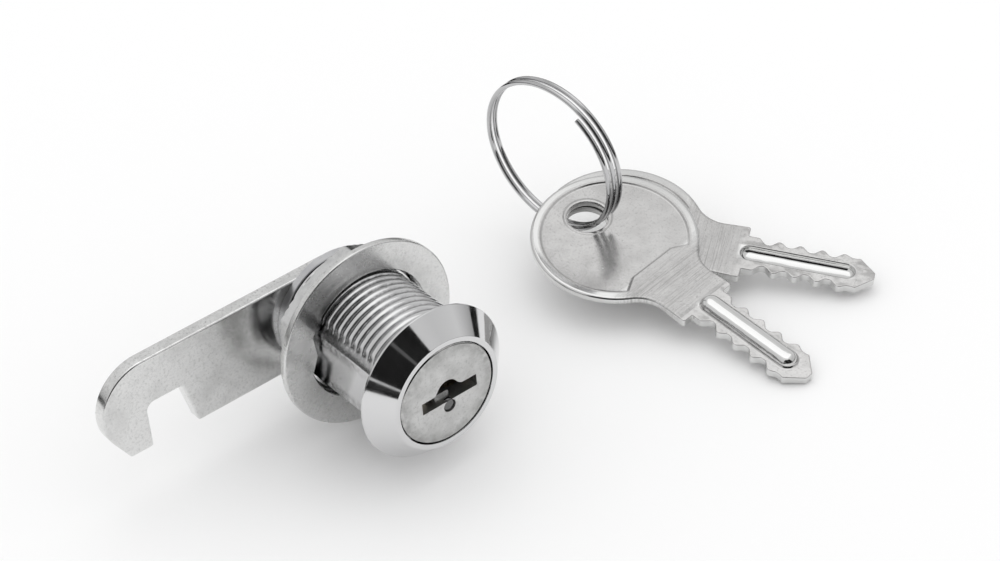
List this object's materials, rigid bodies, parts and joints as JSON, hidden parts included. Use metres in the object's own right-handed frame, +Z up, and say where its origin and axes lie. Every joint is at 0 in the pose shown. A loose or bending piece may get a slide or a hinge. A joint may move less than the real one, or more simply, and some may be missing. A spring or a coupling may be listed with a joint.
{
  "type": "furniture lock",
  "caption": "Cam lock for furniture doors: round bezel, flat-sided threaded body, wafer plug, hooked cam, panel washer and nut, with flat keys on a split ring.",
  "frame": {"origin": "on the lock's axis, in the plane of the bezel's back face, which seats on the panel", "axes": "+Y along the lock's axis into the cabinet, the keyway faces -Y, +Z up, and the cam points to -X in the locked position"},
  "size_m": [0.1063, 0.0596, 0.0297],
  "materials": {
    "bezel_chrome": "polished chrome plate on cast zinc",
    "plug_nickel": "satin nickel plate",
    "wafer_brass": "stamped, plain",
    "spring_steel": "drawn wire",
    "washer_steel": "bright nickel plate",
    "nut_steel": "bright nickel plate",
    "stop_steel": "zinc plate",
    "cam_steel": "nickel plate on sheet steel",
    "screw_steel": "zinc plate",
    "key_nickel": "satin nickel plate with bright rims",
    "ring_steel": "bright nickel-plated wire"
  },
  "bodies": {
    "lock_body": {"housing": "bezel_chrome"},
    "turning_plug": {"plug": "plug_nickel", "stop_washer": "stop_steel", "cam": "cam_steel", "lock_washer": "screw_steel", "cam_screw": "screw_steel", "wafer_spring_1": "spring_steel", "wafer_spring_2": "spring_steel", "wafer_spring_3": "spring_steel", "wafer_spring_4": "spring_steel", "wafer_spring_5": "spring_steel"},
    "wafer_1_body": {"wafer_1": "wafer_brass"},
    "wafer_2_body": {"wafer_2": "wafer_brass"},
    "wafer_3_body": {"wafer_3": "wafer_brass"},
    "wafer_4_body": {"wafer_4": "wafer_brass"},
    "wafer_5_body": {"wafer_5": "wafer_brass"},
    "washer": {"panel_washer": "washer_steel"},
    "nut": {"hex_nut": "nut_steel"},
    "ring": {"split_ring": "ring_steel"},
    "front_key": {"key_front": "key_nickel"},
    "back_key": {"key_back": "key_nickel"}
  },
  "joints": [
    {"name": "plug_turn", "type": "hinge", "parent": "lock_body", "child": "turning_plug", "pos_m": [0, 0, 0], "axis": [0, 1, 0], "range_deg": [0, 90]},
    {"name": "wafer_1_slide", "type": "slide", "parent": "turning_plug", "child": "wafer_1_body", "axis": [1, 0, 0], "range_m": [-0.0011, 0.0008], "stiffness_N_per_m": 60, "springref_m": 0.0015, "deforming": ["wafer_spring_1"]},
    {"name": "wafer_2_slide", "type": "slide", "parent": "turning_plug", "child": "wafer_2_body", "axis": [-1, 0, 0], "range_m": [-0.0009, 0.0008], "stiffness_N_per_m": 60, "springref_m": 0.0015, "deforming": ["wafer_spring_2"]},
    {"name": "wafer_3_slide", "type": "slide", "parent": "turning_plug", "child": "wafer_3_body", "axis": [1, 0, 0], "range_m": [-0.00105, 0.0008], "stiffness_N_per_m": 60, "springref_m": 0.0015, "deforming": ["wafer_spring_3"]},
    {"name": "wafer_4_slide", "type": "slide", "parent": "turning_plug", "child": "wafer_4_body", "axis": [-1, 0, 0], "range_m": [-0.001, 0.0008], "stiffness_N_per_m": 60, "springref_m": 0.0015, "deforming": ["wafer_spring_4"]},
    {"name": "wafer_5_slide", "type": "slide", "parent": "turning_plug", "child": "wafer_5_body", "axis": [1, 0, 0], "range_m": [-0.0005, 0.0008], "stiffness_N_per_m": 60, "springref_m": 0.0015, "deforming": ["wafer_spring_5"]},
    {"name": "nut_spin", "type": "hinge", "parent": "washer", "child": "nut", "pos_m": [0, 0.0166, 0], "axis": [0, 1, 0], "range_deg": [-2880, 0]},
    {"name": "washer_slide", "type": "slide", "parent": "lock_body", "child": "washer", "axis": [0, 1, 0], "range_m": [-0.01, 0]},
    {"name": "ring_lift", "type": "slide", "parent": "lock_body", "child": "ring", "axis": [0, 0, 1], "range_m": [0, 0.03]},
    {"name": "front_key_swing", "type": "hinge", "parent": "ring", "child": "front_key", "pos_m": [0.04144, 0.02417, 0.00349], "axis": [-0.9894, -0.1435, -0.0207], "range_deg": [0, 30]},
    {"name": "back_key_swing", "type": "hinge", "parent": "ring", "child": "back_key", "pos_m": [0.04144, 0.02417, 0.00349], "axis": [-0.9894, -0.1435, -0.0207], "range_deg": [-30, 0]}
  ],
  "couplings": [
    {"joint": "washer_slide", "follows": "nut_spin", "m_per_rad": 0.00019894}
  ]
}
